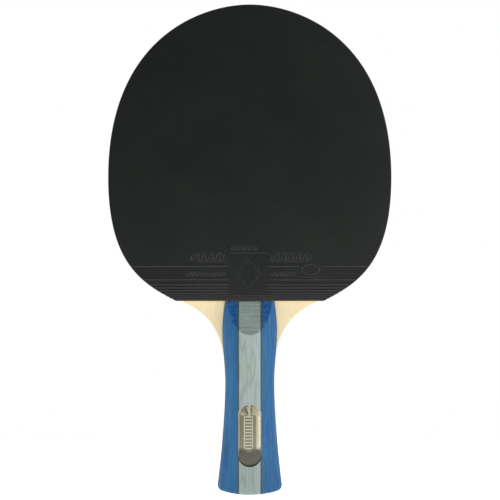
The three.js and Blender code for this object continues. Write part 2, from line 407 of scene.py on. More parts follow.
def woodFinish(name, look):
    # growth layers lie across Y and wander slowly, as ((1 + sin) / 2)^p of the place; fibres run along the
    # grain, and pores are short dark dashes; a bevel cuts the layers at a slant, so there they show as lines
    # across the strip, and painted shade darkens the wood a little towards the butt
    finish = Finish(name)
    shift = look["shift"]
    across, depth, along = (0, 1, 2) if look["grain"] == "Z" else (2, 1, 0)

    def grain(a, d, l, detail=2.0, roughness=0.5):
        # noise with a scale across the grain, one through the thickness and one along the grain
        scale = [0, 0, 0]
        scale[across], scale[depth], scale[along] = a, d, l
        return finish.noise(tuple(scale), shift, detail, roughness)

    y, z = finish.add("SeparateXYZ", None, {0: finish.place}, outputs=(1, 2))
    wander = grain(look["wanderScale"], 0.2, look["wanderScale"] * 0.16)
    layers = (y * look["layers"] + wander * look["wander"]) * (2 * math.pi)
    ring = (layers.sine() * 0.5 + 0.5) ** look["ringPower"]
    fibre = grain(2.6, 2.6, 0.07, detail=3.0, roughness=0.6)
    pore = grain(7.0, 7.0, 0.45, detail=1.0).between(0.62, 0.74)
    shares = {
        "ring": ring,
        "fibre": fibre.between(0.35, 0.72),
        "band": grain(look["bandScale"], 0.3, 0.012, detail=1.0).between(0.4, 0.62),
        "stain": grain(0.9, 0.9, 0.02, roughness=0.6).between(0.48, 0.66),
        "pore": pore,
    }
    tone = finish.layered(look, look["light"], shares)
    if "bevel" in look:
        cut = finish.add("Attribute", {"attribute_name": "bevelShare"}, outputs="Fac")
        fleck = finish.noise((0.7, 2.0, 0.9), shift, detail=3.0, roughness=0.65)
        lines = finish.noise((0.03, 4.5, 0.15), shift, roughness=0.7)
        shares = {
            "fleck": fleck.between(0.44, 0.6),
            "spark": 1 - fleck.between(0.34, 0.46),
            "line": lines.between(0.48, 0.62),
        }
        shade = finish.layered(look, look["bevel"], shares)
        ragged = (cut + (fleck - 0.5) * look["ragged"]).between(0.3, 0.7)
        tone = finish.mix(ragged, tone, shade)
        # painted shade: the wood darkens a little towards the butt
        tone = finish.layered(look, tone, {"held": 1 - z.between(buttZ + 4, buttZ + 44)})
    height = fibre * 0.6 - pore * 0.8 + ring * 0.3
    roughness = look["roughness"] + fibre * 0.14 - 0.07
    return finish.surface(tone, roughness, look["shine"], {"Normal": finish.bump(height, look["relief"])})


# light is the ground; ring, fibre, band, stain and pore each have a colour over it and its greatest share
outerWoodLook = {
    "grain": "Z",
    "shift": (3.1, 0.7, 9.2),
    "layers": 0.35,
    "wander": 5.0,
    "wanderScale": 0.16,
    "ringPower": 2.0,
    "bandScale": 0.16,
    "light": (243, 229, 188),
    "ring": ((234, 212, 162), 0.25),
    "fibre": ((232, 212, 164), 0.3),
    "band": ((243, 217, 184), 0.55),
    "stain": ((238, 213, 168), 0.3),
    "pore": ((196, 168, 122), 0.35),
    "roughness": 0.55,
    "shine": 0.35,
    "relief": 0.02,
}

medialWoodLook = {
    **outerWoodLook,
    "grain": "X",
    "shift": (11.0, 4.0, 2.0),
    "layers": 0.9,
    "light": (226, 200, 150),
    "ring": ((196, 162, 110), 0.25),
    "fibre": ((186, 152, 104), 0.3),
    "band": ((214, 184, 138), 0.55),
    "pore": ((150, 116, 74), 0.6),
    "roughness": 0.68,
    "shine": 0.25,
}

coreWoodLook = {
    **outerWoodLook,
    "shift": (7.0, 1.0, 5.0),
    "layers": 0.6,
    "light": (238, 222, 188),
    "ring": ((220, 198, 156), 0.25),
    "fibre": ((214, 190, 148), 0.3),
    "band": ((232, 212, 176), 0.55),
    "roughness": 0.65,
    "shine": 0.25,
}

# bevel is the ground of the slanting cut, with fleck, spark and line over it; held is painted shade, a
# darkening near the butt
greyWoodLook = {
    "grain": "Z",
    "shift": (2.0, 5.0, 3.0),
    "layers": 2.0,
    "wander": 7.0,
    "wanderScale": 0.13,
    "ringPower": 2.6,
    "bandScale": 0.25,
    "light": (161, 176, 174),
    "ring": ((128, 141, 128), 0.65),
    "fibre": ((138, 154, 151), 0.45),
    "band": ((160, 181, 192), 0.65),
    "stain": ((156, 162, 140), 0.5),
    "pore": ((104, 118, 108), 0.6),
    "bevel": (124, 137, 133),
    "fleck": ((148, 162, 160), 0.4),
    "spark": ((136, 146, 132), 0.4),
    "line": ((104, 117, 112), 0.85),
    "ragged": 0.5,
    # painted shade near the butt
    "held": ((70, 72, 66), 0.16),
    "roughness": 0.42,
    "shine": 0.4,
    "relief": 0.02,
}

blueWoodLook = {
    **greyWoodLook,
    "shift": (8.0, 2.0, 6.0),
    "layers": 1.4,
    "wanderScale": 0.2,
    "ringPower": 1.4,
    "bandScale": 0.35,
    "light": (50, 108, 157),
    "ring": ((30, 84, 138), 0.5),
    "fibre": ((24, 78, 138), 0.6),
    "band": ((60, 116, 160), 0.6),
    "stain": ((30, 92, 124), 0.6),
    "pore": ((18, 62, 112), 0.4),
    "bevel": (23, 78, 133),
    "fleck": ((12, 56, 110), 0.8),
    "spark": ((44, 100, 150), 0.8),
    "line": ((40, 94, 140), 0.4),
    "ragged": 1.1,
    # painted shade near the butt
    "held": ((20, 52, 84), 0.16),
    "shine": 0.22,
}

veneerLook = {
    **greyWoodLook,
    "shift": (1.0, 7.0, 4.0),
    "light": (68, 84, 84),
    "ring": ((50, 64, 62), 0.65),
    "fibre": ((46, 60, 60), 0.45),
    "band": ((72, 90, 92), 0.65),
    "stain": ((58, 70, 60), 0.5),
    "pore": ((28, 38, 40), 0.6),
    "bevel": (52, 64, 62),
    "fleck": ((42, 52, 50), 0.4),
    "spark": ((60, 72, 66), 0.4),
    "line": ((64, 78, 76), 0.85),
    "roughness": 0.45,
}

outerWood = woodFinish("outerWood", outerWoodLook)
medialWood = woodFinish("medialWood", medialWoodLook)
coreWood = woodFinish("coreWood", coreWoodLook)
greyWood = woodFinish("greyWood", greyWoodLook)
blueWood = woodFinish("blueWood", blueWoodLook)
blackVeneer = woodFinish("blackVeneer", veneerLook)


def rubberFinish(name, look):
    # a smooth skin: slow mottling, a fine pebble in the bump, and a few grains of dust where a cell is lucky
    finish = Finish(name)
    mottle = finish.noise((0.03, 0.03, 0.03), detail=3.0)
    grain = finish.noise((4.0, 4.0, 4.0))
    smear = finish.noise((0.025, 0.025, 0.03), (4, 1, 2))
    cells = {"Vector": finish.place, "Scale": look["dustPerMm"]}
    distance, chance = finish.add("TexVoronoi", None, cells, outputs=("Distance", "Color"))
    lucky = finish.add("SeparateColor", None, {0: chance})
    shares = {
        "worn": mottle.between(0.35, 0.7),
        "dust": (1 - distance.between(0.02, 0.05)) * lucky.between(0.8, 0.82),
    }
    tone = finish.layered(look, look["skin"], shares)
    roughness = look["roughness"] + smear * 0.06 - 0.03 + grain * 0.04
    return finish.surface(tone, roughness, look["shine"], {"Normal": finish.bump(grain, look["pebble"])})


blackLook = {
    "skin": (11, 16, 12),
    "worn": ((16, 21, 16), 0.6),
    "dust": ((120, 122, 116), 0.4),
    "dustPerMm": 0.07,
    "roughness": 0.25,
    "shine": 0.6,
    "pebble": 0.002,
}

redLook = {
    **blackLook,
    "skin": (168, 14, 20),
    "worn": ((154, 11, 17), 0.6),
    "dust": ((214, 150, 146), 0.4),
}


def spongeFinish(name, look):
    # cream foam: round pores at two sizes, with painted shade inside them
    finish = Finish(name)
    big, small = (
        finish.add("TexVoronoi", None, {"Vector": finish.place, "Scale": scale})
        for scale in (look["bigPores"], look["smallPores"])
    )
    cloud = finish.noise((0.08, 0.08, 0.08))
    hole = 1 - big.between(0.15, 0.42) * (small.between(0.1, 0.4) * 0.5 + 0.5)
    # painted shade inside the pores
    tone = finish.layered(look, look["foam"], {"aged": cloud.between(0.35, 0.65), "pore": hole})
    pitted = {"Normal": finish.bump(1 - hole, look["relief"])}
    return finish.surface(tone, look["roughness"], look["shine"], pitted)


spongeLook = {
    "bigPores": 2.6,
    "smallPores": 6.0,
    "foam": (240, 212, 150),
    "aged": ((228, 194, 128), 1.0),
    # painted shade inside the pores
    "pore": ((168, 128, 74), 0.55),
    "roughness": 0.85,
    "shine": 0.2,
    "relief": 0.08,
}

blackRubber = rubberFinish("blackRubber", blackLook)
redRubber = rubberFinish("redRubber", redLook)
creamSponge = spongeFinish("creamSponge", spongeLook)
print("finishes made")


blade = {
    "edgeRound": 0.05,
    "bareRound": 0.3,  # more rounding of the outer edges where the neck is bare
    "bareDrop": 30.0,
    "fadeIn": 2.0,
    "fadeOut": 6.0,
}


def plyShape(nearY, farY, outerSide):
    # a thin plate whose rim is sanded rounder on an outer face where the neck is bare
    outline = mirrored(bladeHalfOutline())
    drop = edgeZ - outline[:, 1]
    bare = np.clip(drop / blade["fadeIn"], 0, 1)
    bare = bare * np.clip((blade["bareDrop"] - drop) / blade["fadeOut"], 0, 1)
    fine = blade["edgeRound"]
    soft = fine + blade["bareRound"] * bare
    nearRound = soft if outerSide < 0 else fine
    farRound = soft if outerSide > 0 else fine
    turn = np.linspace(0, math.pi / 2, 4)
    profile = [(nearRound * (1 - math.sin(a)), nearY + fine * (1 - math.cos(a))) for a in turn]
    profile += [(farRound * (1 - math.sin(a)), farY - fine * (1 - math.cos(a))) for a in turn[::-1]]
    return plateShape(outline, profile)


plies = [
    ("outer_ply_front", "front_outer_ply", outerWood, -1),
    ("medial_ply_front", "front_medial_ply", medialWood, 0),
    ("core_ply_middle", "core_ply", coreWood, 0),
    ("medial_ply_back", "back_medial_ply", medialWood, 0),
    ("outer_ply_back", "back_outer_ply", outerWood, 1),
]

print("blade")
for name, node, finish, outerSide in plies:
    low, high = boxOf(node)
    makePiece(name, plyShape(low[1], high[1], outerSide), finish, node)


rubber = {
    "cornerHalf": 39.0,
    "cornerAngle": math.radians(27),
    "cornerReach": 19.4,
    "sheet": 0.9,
    "edgeRadius": 0.15,
    "outlineSteps": 2400,
    "pipPitch": 2.2,
    "pipBase": 0.85,
    "pipTip": 0.7,
    "pipSides": 8,
    "pipOver": 0.45,  # how far outside the edge a stud's middle may lie before it is left out
    "overlap": 0.04,  # how far pips and marks reach into the sheet
}

# places on the sheet are X and the height above its straight edge
imprint = {
    "shift": -0.8,
    "ribs": [18.5, 11.4, 8.8, 7.15, 5.6, 4.2, 2.9, 1.85, 0.8],
    "ribWidth": 0.95,
    "ribHeight": 0.3,
    "ribEnd": 0.3,  # how far the ribs stop short of the outline
    "panelHalf": 10.5,
    "panelLow": 3.7,
    "panelHigh": 25.6,
    "panelLine": 0.8,
    "lines": [(-29.5, -12.2, 21.2), (11.6, 31.0, 21.2), (25.5, 37.7, 12.9)],  # from X, to X, height
    "lineWidth": 0.7,
    "lineHeight": 0.2,
    "rows": [  # from X, to X, low and high end of the strokes, pitch, lean
        (-31.5, -12.2, 21.8, 25.2, 1.9, 1.1),
        (11.0, 34.0, 21.8, 25.2, 1.9, 1.1),
        (-33.6, -12.4, 13.4, 15.2, 1.25, 0.4),
        (11.2, 24.4, 13.4, 15.2, 1.25, 0.4),
        (-9.8, 5.6, 27.0, 29.4, 1.5, 0.6),
    ],
    "markWidth": 0.7,
    "markHeight": 0.28,
    "lozenge": (0.62, 0.36, 0.35),  # shares of the panel's half width, of its height and of the marks' height
    "oval": (32.2, 16.8, 4.6, 2.6, 0.8, 0.18),  # middle, two radii, width and height
    "ovalGap": (26.5, 38.0),  # where the top rib leaves room for the oval
}

rubberHalf = headCurve(rubber["cornerHalf"], rubber["cornerAngle"], rubber["cornerReach"])
rubberOutline = mirrored(rubberHalf)
headMiddle = (edgeZ + topZ) / 2


def rubberHalfWidth(z):
    # half the sheet's width at a height
    return np.interp(z, rubberHalf[::-1, 1], rubberHalf[::-1, 0])


def rubberReach(x, z):
    # distance from the head's middle to the rubber's edge, in the direction of a place
    loop = np.vstack([rubberOutline, rubberOutline[:1]]) - (0, headMiddle)
    length = np.concatenate([[0], np.cumsum(np.linalg.norm(np.diff(loop, axis=0), axis=1))])
    fine = np.linspace(0, length[-1], rubber["outlineSteps"])
    edgeX, edgeUp = (np.interp(fine, length, loop[:, axis]) for axis in (0, 1))
    edgeTurn, turn = np.arctan2(edgeUp, edgeX), np.arctan2(z - headMiddle, x)
    return np.interp(turn, edgeTurn, np.hypot(edgeX, edgeUp), period=2 * math.pi)


def pipShape(rootY, tipY):
    # short eight-sided studs on a triangular grid; those that the sheet's edge cuts are trimmed flush with it
    # by pulling their corners in towards the head's middle
    pitch, sides = rubber["pipPitch"], rubber["pipSides"]
    columns = np.arange(-headHalf - pitch, headHalf + pitch, pitch * math.sqrt(3) / 2)
    rows = np.arange(edgeZ - 0.25 * pitch, topZ + pitch, pitch)
    gridX = np.repeat(columns[None, :], len(rows), axis=0)
    gridZ = rows[:, None] + (np.arange(len(columns)) % 2 * pitch / 2)[None, :]
    inside = np.hypot(gridX, gridZ - headMiddle) < rubberReach(gridX, gridZ) + rubber["pipOver"]
    centres = np.stack([gridX[inside], gridZ[inside]], axis=1)
    angle = np.arange(sides) * 2 * math.pi / sides
    circle = np.stack([np.cos(angle), np.sin(angle)], axis=1)
    points = np.zeros((len(centres), 2, sides, 3))
    for level, (radius, y) in enumerate([(rubber["pipBase"], rootY), (rubber["pipTip"], tipY)]):
        flat = centres[:, None, :] + radius * circle
        x, up = flat[..., 0], flat[..., 1] - headMiddle
        kept = np.minimum(1, rubberReach(x, flat[..., 1]) / np.hypot(x, up))
        points[:, level, :, 0] = x * kept
        points[:, level, :, 1] = y
        points[:, level, :, 2] = headMiddle + up * kept
    start = (np.arange(len(centres)) * 2 * sides)[:, None]
    walls = (start[:, :, None] + ringFaces(2, sides)[None]).reshape(-1, 4)
    caps = [start + np.arange(sides) + sides * level for level in (0, 1)]
    return points.reshape(-1, 3), [walls, *caps]


barSide = np.linspace(-1, 1, 9)
barRise = 0.5 + 0.5 * np.cos(math.pi * barSide)  # a raised cosine: the cross-section of every raised mark
barSwell = np.array([0.05, 1.0, 1.0, 0.05])  # its share of the height at four stations along a bar


def raisedBars(bars, faceY, out):
    # low rounded bars on a face: each is (x, z) to (x, z), a width and a height, and nearly dies away at
    # its ends
    bars = np.array(bars, float)
    start, end = bars[:, 0:2], bars[:, 2:4]
    width, height = bars[:, 4], bars[:, 5]
    length = np.linalg.norm(end - start, axis=1)
    along = (end - start) / length[:, None]
    across = np.stack([-along[:, 1], along[:, 0]], axis=1)
    taper = np.minimum(width, 0.45 * length) / length
    places = np.stack([0 * taper, taper, 1 - taper, 0 * taper + 1], axis=1)
    centre = start[:, None, :] + (places * length[:, None])[..., None] * along[:, None, :]
    aside = barSide[None, None, :, None] * (width / 2)[:, None, None, None]
    flat = centre[:, :, None, :] + aside * across[:, None, None, :]
    lift = height[:, None, None] * barSwell[None, :, None] * barRise[None, None, :]
    points = np.stack([flat[..., 0], faceY + out * (lift - rubber["overlap"]), flat[..., 1]], axis=-1)
    stations, around = len(barSwell), len(barSide)
    first = (np.arange(len(bars)) * stations * around)[:, None]
    walls = (first[:, :, None] + ringFaces(stations, around)[None]).reshape(-1, 4)
    caps = [first + np.arange(around) + around * station for station in (0, stations - 1)]
    return points.reshape(-1, 3), [walls, *caps]


def raisedRing(centreX, centreZ, radiusX, radiusZ, width, height, faceY, out):
    # the same cross-section carried round an ellipse
    turn = np.linspace(0, 2 * math.pi, 48, endpoint=False)[:, None]
    x = centreX + np.cos(turn) * (radiusX + barSide * width / 2)
    z = centreZ + np.sin(turn) * (radiusZ + barSide * width / 2)
    y = faceY + out * (height * barRise - rubber["overlap"]) + 0 * x
    index = np.arange(x.size).reshape(x.shape)
    ahead = np.roll(index, -1, axis=0)
    right, both = (np.roll(i, -1, axis=1) for i in (index, ahead))
    faces = np.stack([i.ravel() for i in (index, right, both, ahead)], axis=1)
    return np.stack([x, y, z], axis=2).reshape(-1, 3), [faces]


def strokeRow(fromX, toX, low, high, pitch, lean):
    # evenly spaced strokes that all lean the same way, joined at the bottom and at the top in turn
    places = np.arange(fromX, toX - lean, pitch)
    bars = [(x, low, x + lean, high) for x in places]
    for place, (here, there) in enumerate(zip(places, places[1:])):
        aside, z = (lean, high) if place % 2 else (0, low)
        bars.append((here + aside, z, there + aside, z))
    return [(*bar, imprint["markWidth"], imprint["markHeight"]) for bar in bars]


def imprintBars():
    # ribs across the sheet, broken by a panel; lines and rows of strokes beside and over it; a lozenge in it
    left, right = imprint["shift"] - imprint["panelHalf"], imprint["shift"] + imprint["panelHalf"]
    low, high = imprint["panelLow"], imprint["panelHigh"]
    bars = []
    for rib in imprint["ribs"]:
        reach = float(rubberHalfWidth(edgeZ + rib)) - imprint["ribEnd"]
        spans = [(-reach, left), (right, reach)] if rib > low else [(-reach, reach)]
        if rib == imprint["ribs"][0]:
            spans = [(-reach, left), (right, imprint["ovalGap"][0]), (imprint["ovalGap"][1], reach)]
        bars += [(start, rib, end, rib, imprint["ribWidth"], imprint["ribHeight"]) for start, end in spans]
    bars.append((left, high, right, high, imprint["panelLine"], imprint["lineHeight"]))
    for start, end, z in imprint["lines"]:
        bars.append((start, z, end, z, imprint["lineWidth"], imprint["lineHeight"]))
    for row in imprint["rows"]:
        bars += strokeRow(*row)
    x, z = imprint["shift"], (low + high) / 2
    wide, tall, faint = imprint["lozenge"]
    reachX, reachZ = wide * imprint["panelHalf"], tall * (high - low)
    tips = [(x, z + reachZ), (x + reachX, z), (x, z - reachZ), (x - reachX, z)]
    for here, there in zip(tips, tips[1:] + tips[:1]):
        bars.append((*here, *there, imprint["markWidth"], faint * imprint["markHeight"]))
    return [(x0, edgeZ + z0, x1, edgeZ + z1, w, h) for x0, z0, x1, z1, w, h in bars]


def topsheetShape(out):
    # a thin sheet with a soft outer rim, pips towards the blade and the raised marks on its face
    outerY, innerY, rootY = out * rubberY, out * (rubberY - rubber["sheet"]), out * spongeY
    profile = roundedEdge(outerY, -out, rubber["edgeRadius"]) + [(0, innerY)]
    sheet = plateShape(rubberOutline, profile)
    pips = pipShape(innerY + out * rubber["overlap"], rootY)
    marks = raisedBars(imprintBars(), outerY, out)
    x, z, *sizes = imprint["oval"]
    oval = raisedRing(x, edgeZ + z, *sizes, outerY, out)
    return joined(sheet, pips, marks, oval)


def spongeShape(out):
    # a plate cut just inside the sheet, its edges barely rounded
    levels = [(0.12, bladeHalf), (0.05, bladeHalf + 0.1), (0.05, spongeY - 0.1), (0.12, spongeY)]
    return plateShape(rubberOutline, [(inset, out * y) for inset, y in levels])


print("rubber")
skins = [(-1, "front", blackRubber, "black_rubber"), (1, "back", redRubber, "red_rubber")]
for out, face, finish, slot in skins:
    makePiece(f"sponge_{face}", spongeShape(out), creamSponge, f"{face}_sponge")
    makePiece(f"topsheet_{face}", topsheetShape(out), finish, f"{face}_topsheet")


badge = {
    "width": 12.4,
    "length": 33.2,
    "toButt": 14.9,
    "clearance": 0.15,
    "rimWidth": 0.34,
    "lensGap": 0.01,
    "lensEdge": 0.5,
    "lensEdgeRadius": 0.3,
    "lensSlant": math.radians(26),
    "shoulder": 2.2,
    "shoulderPower": 1.25,
    "ladder": {
        "left": -2.9,
        "right": 1.4,
        "top": 9.8,
        "bottom": -7.0,
        "rungs": 11,
        "rungWidth": 0.95,
        "railWidth": 0.7,
        "railOver": 0.4,
        "height": 0.2,
    },
}

badgeZ = buttZ + badge["toButt"] + badge["length"] / 2
badgeReach = (badge["length"] - badge["width"]) / 2
pocketHalf = badge["width"] / 2 + badge["clearance"]
pocketFloor = -boxOf("badge_plate")[1][1]
plateTop = -boxOf("badge_plate")[0][1]
lensTop = -boxOf("badge_lens")[0][1]


def softMinimum(first, second, softness):
    # the smaller of two heights, rounded where they cross: (a + b - sqrt((a - b)^2 + 4 s^2)) / 2
    return (first + second - np.sqrt((first - second) ** 2 + 4 * softness**2)) / 2


def scaleHeight(x, drop):
    # crown: half a superellipse over the blade; bevel: a plane from the rubber up to the full thickness; the
    # lower of the two counts, and a quarter circle takes the height down at the butt's edge; the share is 0
    # on the crown and 1 on the bevel
    width = handleHalf(handle["widths"], drop)
    crown = handleHalf(handle["thicknesses"], drop) - bladeHalf
    power, radius = handle["crownPower"], handle["buttEdgeRadius"]
    across = np.clip(np.abs(x) / width, 0, 1)
    dome = bladeHalf + crown * (1 - across**power) ** (1 / power)
    thin = rubberY + handle["bevelLip"]
    thick = float(handleHalf(handle["thicknesses"], handle["bevelLength"]))
    plane = thin + (thick - thin) * drop / handle["bevelLength"]
    softness = np.minimum(handle["bevelSoftness"], 0.3 * (dome - bladeHalf))
    thinnest = bladeHalf + handle["featherEdge"]
    height = np.maximum(softMinimum(dome, plane, softness), thinnest)
    share = np.clip((dome - plane) / handle["bevelFade"] + 0.5, 0, 1)
    z = edgeZ - drop
    toArc = handle["buttArcRadius"] - np.hypot(x, z - buttCentreZ)
    pastCorner = np.hypot(np.maximum(np.abs(x) - cornerX, 0), np.minimum(z - cornerZ, 0))
    toCorner = handle["buttCornerRadius"] - pastCorner
    inCorner = (np.abs(x) > cornerX) & (z < cornerZ)
    distance = np.clip(np.where(inCorner, np.minimum(toArc, toCorner), toArc), 0, radius)
    lost = radius - np.sqrt(np.maximum(radius**2 - (radius - distance) ** 2, 0))
    nearButt = z < cornerZ + radius
    return np.where(nearButt, np.maximum(height - lost, thinnest), height), share


def sheetPair(x, z, height, share):
    # a closed block between a height field and the blade's face, from grids of the same shape
    rows, columns = x.shape
    top = np.stack([x, height, z], axis=2).reshape(-1, 3)
    base = np.stack([x, np.full_like(x, bladeHalf), z], axis=2).reshape(-1, 3)
    count = rows * columns
    face = gridFaces(rows, columns)
    index = np.arange(count).reshape(rows, columns)
    loop = np.concatenate([index[0, :-1], index[:-1, -1], index[-1, :0:-1], index[:0:-1, 0]])
    ahead = np.roll(loop, -1)
    wall = np.stack([loop, ahead, ahead + count, loop + count], axis=1)
    return (np.vstack([top, base]), [face, face[:, ::-1] + count, wall]), np.tile(share.ravel(), 2)


stripGrid = {
    "columnPitch": 0.28,
    "bevelPart": 0.42,  # the share of the length above the badge that has the finer rows
    "bevelRows": 90,
    "headRows": 46,
    "pocketRows": 50,
    "buttRows": 46,
    "sideColumns": 46,
    "sideTopRows": 90,
    "sideTopDrop": 22.0,
    "sideRows": 70,
}


def innerStrip(fromX, toX, pocket):
    # columns run the length of the handle at a fixed x; rows bend to follow the pocket's ends and the butt's
    # arc
    grid = stripGrid
    columns = np.linspace(fromX, toX, max(int((toX - fromX) / grid["columnPitch"]), 6))
    inPocket = np.abs(columns) < pocketHalf
    for wall in (-pocketHalf, pocketHalf):
        if fromX < wall < toX:  # an upright wall needs two columns at the same x
            columns = np.concatenate([columns, [wall, wall]])
            inPocket = np.concatenate([inPocket, [True, False]])
    order = np.lexsort((inPocket if fromX < 0 else ~inPocket, columns))
    columns, inPocket = columns[order], inPocket[order]
    bulge = badgeReach + np.sqrt(np.maximum(pocketHalf**2 - columns**2, 0))
    first = np.full_like(columns, handle["topGap"])
    upper, lower = edgeZ - badgeZ - bulge, edgeZ - badgeZ + bulge
    last = edgeZ - buttCentreZ + np.sqrt(handle["buttArcRadius"] ** 2 - columns**2)
    fine = np.linspace(0, grid["bevelPart"], grid["bevelRows"])
    headRows = np.concatenate([fine, np.linspace(grid["bevelPart"], 1, grid["headRows"])[1:]])
    pocketRows = np.linspace(0, 1, grid["pocketRows"])
    buttRows = np.sin(np.linspace(0, math.pi / 2, grid["buttRows"]))
    drops, sunk = [], []
    parts = [
        (first, upper, headRows, False),
        (upper, lower, pocketRows, True),
        (lower, last, buttRows, False),
    ]
    for fromDrop, toDrop, rows, isPocket in parts:
        drops.append(fromDrop + (toDrop - fromDrop) * rows[:, None])
        sunk.append(np.repeat((inPocket & isPocket)[None, :], len(rows), axis=0))
    drop, sunk = np.vstack(drops), np.vstack(sunk)
    x = np.repeat(columns[None, :], len(drop), axis=0)
    height, share = scaleHeight(x, drop)
    if pocket:
        height = np.where(sunk, pocketFloor, height)
    return sheetPair(x, edgeZ - drop, height, share)


def sideStrip(innerX):
    # rows run across the strip; columns crowd towards the side, where the crown falls steeply
    grid = stripGrid
    corner = arc(cornerX, cornerZ, handle["buttCornerRadius"], 0, cornerAngle, 20)
    toAngle = -math.acos(innerX / handle["buttArcRadius"])
    shallow = arc(0, buttCentreZ, handle["buttArcRadius"], cornerAngle, toAngle, 30)[1:]
    butt = np.vstack([corner, shallow])
    upper = np.linspace(handle["topGap"], grid["sideTopDrop"], grid["sideTopRows"])
    lower = np.linspace(grid["sideTopDrop"], flareEnd - 2, grid["sideRows"])[1:]
    last = np.linspace(flareEnd - 2, flareEnd, 8)[1:-1]
    drop = np.concatenate([upper, lower, last, edgeZ - butt[:, 1]])
    flare = handleHalf(handle["widths"], drop)
    limit = flare.copy()
    limit[-len(butt):] = butt[:, 0]
    power = handle["crownPower"]
    startAngle = np.arccos(np.clip(innerX / flare, 0, 1) ** (power / 2))
    share = np.linspace(1, 0, grid["sideColumns"])
    across = flare[:, None] * np.cos(startAngle[:, None] * share[None, :]) ** (2 / power)
    room = (across - innerX) / np.maximum(flare - innerX, 1e-6)[:, None]
    x = innerX + room * (limit - innerX)[:, None]
    dropGrid = np.repeat(drop[:, None], len(share), axis=1)
    height, cut = scaleHeight(x, dropGrid)
    return sheetPair(x, edgeZ - dropGrid, height, cut)


def turnedTo(shape, out, side=1):
    # the block built over +Y, turned to the front or back face and mirrored to the left or right
    points, faces = shape
    return points * (side, out, 1), faces


print("handle")
for out, face in ((-1, "front"), (1, "back")):
    pocket = out < 0
    # seen from the front the left is -X, and from the back it is +X
    for side, where in ((out, "left"), (-out, "right")):
        strips = [
            ("side", "side_strip", sideStrip(veneerHalf), blueWood, "blue_wood"),
            ("line", "veneer", innerStrip(stripHalf, veneerHalf, pocket), blackVeneer, "black_veneer"),
        ]
        for word, part, (shape, shares), finish, slot in strips:
            node = f"{face}_{where}_{part}"
            makePiece(f"{where}_{word}_{face}", turnedTo(shape, out, side), finish, node, shares)
    shape, shares = innerStrip(-stripHalf, stripHalf, pocket)
    makePiece(f"centre_{face}", turnedTo(shape, out), greyWood, f"{face}_centre_strip", shares)


def stadiumShape(halfWidth, levels):
    # rings shrink from the rim to the middle line; each ring has a share of the half width and a height
    straight = np.linspace(-badgeReach, badgeReach, 24)[1:-1]
    turn = np.linspace(0, math.pi, 33)
    level, bend = np.ones(len(straight)), np.ones(len(turn))
    spineZ = np.concatenate([straight, bend * badgeReach, -straight, -bend * badgeReach])
    sideX = np.concatenate([level, np.cos(turn), -level, -np.cos(turn)])
    sideZ = np.concatenate([0 * level, np.sin(turn), 0 * level, -np.sin(turn)])
    rings = []
    for share, height in levels:
        reach = halfWidth * share
        flat = np.full(len(spineZ), height)
        rings.append(np.stack([sideX * reach, flat, badgeZ + spineZ + sideZ * reach], axis=1))
    return np.vstack(rings), [ringFaces(len(levels), len(spineZ))]


def badgePlateShape():
    # a thin tray: a flat floor inside a low rim whose top is a half circle
    half, rim = badge["width"] / 2, badge["rimWidth"]
    crest = plateTop + badge["lensEdge"] - rim / 2
    turn = np.linspace(0, math.pi, 9)
    levels = [(0, pocketFloor), (1, pocketFloor)]
    levels += [((half - rim / 2 + rim / 2 * math.cos(a)) / half, crest + rim / 2 * math.sin(a)) for a in turn]
    levels += [((half - rim) / half * share, plateTop) for share in np.linspace(1, 0, 12)]
    return stadiumShape(half, levels)


def badgeLensShape():
    # a clear block in the tray: flat on top, a long even slant down to a small quarter-round edge, and an
    # upright side; over the slant the height at an inset d is dome * (1 - (1 - d / shoulder)^p)
    half, edge = badge["width"] / 2 - badge["rimWidth"], badge["lensEdgeRadius"]
    side = plateTop + badge["lensEdge"] - edge
    turn = np.linspace(0, math.pi / 2 - badge["lensSlant"], 8)
    roundInset = edge * (1 - np.cos(turn))
    roundRise = edge * np.sin(turn)
    startInset, start = roundInset[-1], side + roundRise[-1]
    share = 1 - np.cos(np.linspace(0, math.pi / 2, 18))[1:]
    rise = 1 - (1 - share) ** badge["shoulderPower"]
    base = plateTop + badge["lensGap"]
    levels = [(0, base), (1, base)]
    levels += [((half - d) / half, side + r) for d, r in zip(roundInset, roundRise)]
    slant = startInset + share * badge["shoulder"]
    levels += [((half - d) / half, start + (lensTop - start) * r) for d, r in zip(slant, rise)]
    levels += [(share, lensTop) for share in (0.4, 0.2, 0)]
    return stadiumShape(half, levels)


def badgeMarks():
    # a ladder of short bars down the middle of the plate
    ladder = badge["ladder"]
    rungs = np.linspace(ladder["top"], ladder["bottom"], ladder["rungs"])
    left, right = ladder["left"], ladder["right"]
    top, bottom = badgeZ + ladder["top"] + ladder["railOver"], badgeZ + ladder["bottom"] - ladder["railOver"]
    bars = [(left, badgeZ + z, right, badgeZ + z, ladder["rungWidth"], ladder["height"]) for z in rungs]
    bars += [(x, top, x, bottom, ladder["railWidth"], ladder["height"]) for x in (left, right)]
    return raisedBars(bars, plateTop, 1)


